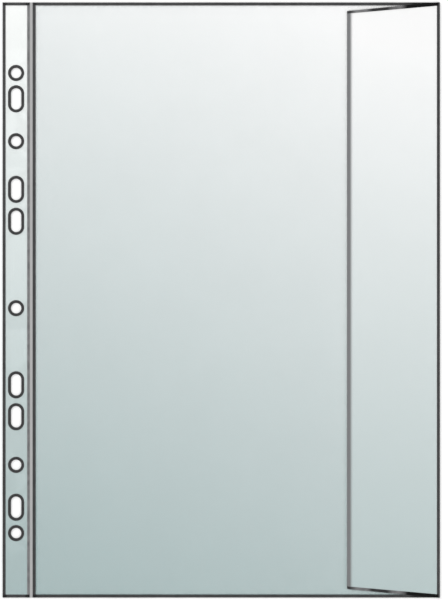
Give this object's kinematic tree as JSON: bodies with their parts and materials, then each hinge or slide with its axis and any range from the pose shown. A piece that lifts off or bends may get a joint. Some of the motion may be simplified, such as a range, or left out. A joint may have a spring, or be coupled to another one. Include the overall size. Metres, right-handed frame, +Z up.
{
  "type": "sheet protector",
  "caption": "Clear film pocket for A4 paper with a punched filing strip on one side, and a folding flap that closes its mouth on the other.",
  "frame": {"origin": "on the table, under the middle of the sheet's outline", "axes": "+X from the filing strip to the crease of the flap, +Y to the head of the sheet, +Z up from the table"},
  "size_m": [0.23, 0.313, 0.0014],
  "materials": {
    "pocket_film": "clear film with a fine grain",
    "flap_film": "clear film with a fine grain",
    "strip_film": "clear film with a fine grain",
    "core_tape": "milky tape",
    "weld_bead": "melted, rounded bead"
  },
  "bodies": {
    "filing_strip": {"strip_rear_layer": "strip_film", "strip_core": "core_tape", "strip_front_layer": "strip_film", "strip_head_bead": "weld_bead", "strip_foot_bead": "weld_bead", "strip_outer_bead": "weld_bead", "hinge_web": "core_tape"},
    "pocket": {"rear_film": "pocket_film", "front_film": "pocket_film", "pocket_head_bead": "weld_bead", "pocket_foot_bead": "weld_bead", "pocket_spine_bead": "weld_bead", "flap_crease": "weld_bead"},
    "flap": {"flap": "flap_film"}
  },
  "joints": [
    {"name": "page_turn", "type": "hinge", "parent": "filing_strip", "child": "pocket", "pos_m": [-0.1, 0, 0.00042], "axis": [0, -1, 0], "range_deg": [0, 110], "deforming": ["hinge_web"]},
    {"name": "flap_fold", "type": "hinge", "parent": "pocket", "child": "flap", "pos_m": [0.1143, 0, 0.0007], "axis": [0, 1, 0], "range_deg": [0, 180], "deforming": ["flap_crease"]}
  ]
}
